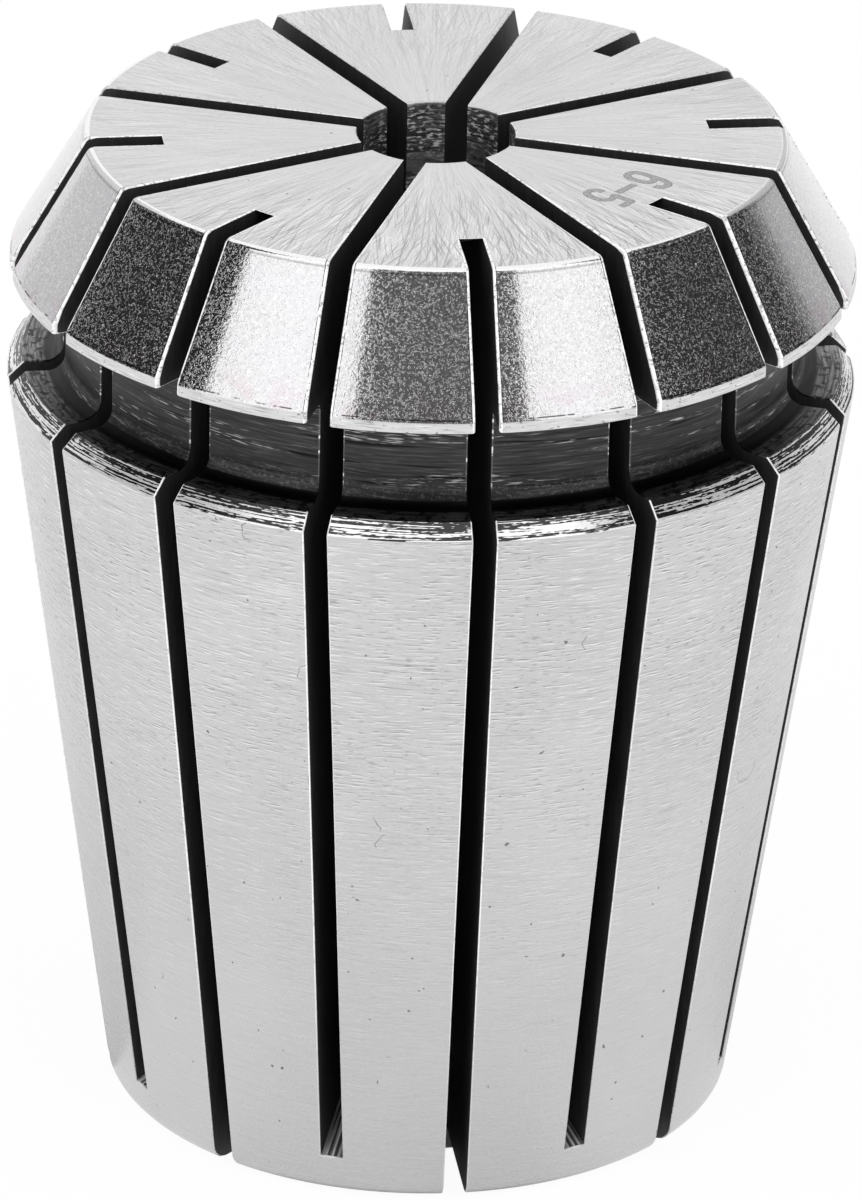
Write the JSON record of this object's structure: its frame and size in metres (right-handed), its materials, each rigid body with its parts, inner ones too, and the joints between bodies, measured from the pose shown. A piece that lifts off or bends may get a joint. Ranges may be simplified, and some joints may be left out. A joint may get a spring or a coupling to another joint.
{
  "type": "er collet",
  "caption": "One-piece slotted spring collet with a long seat taper, a nut groove, a short nose cone and a plain round clamping bore.",
  "frame": {"origin": "centre of the small rear face, on the axis of the bore", "axes": "+Z along the bore axis towards the nose; +X and +Y each pass through the middle of a slot sawn from the rear"},
  "size_m": [0.033, 0.033, 0.04],
  "materials": {
    "ground_steel": "bright ground hardened spring steel, with finer grinding on the nose cone and turned, darker walls in the nut groove and the slots"
  },
  "bodies": {
    "root": {"collet": "ground_steel"}
  },
  "joints": []
}
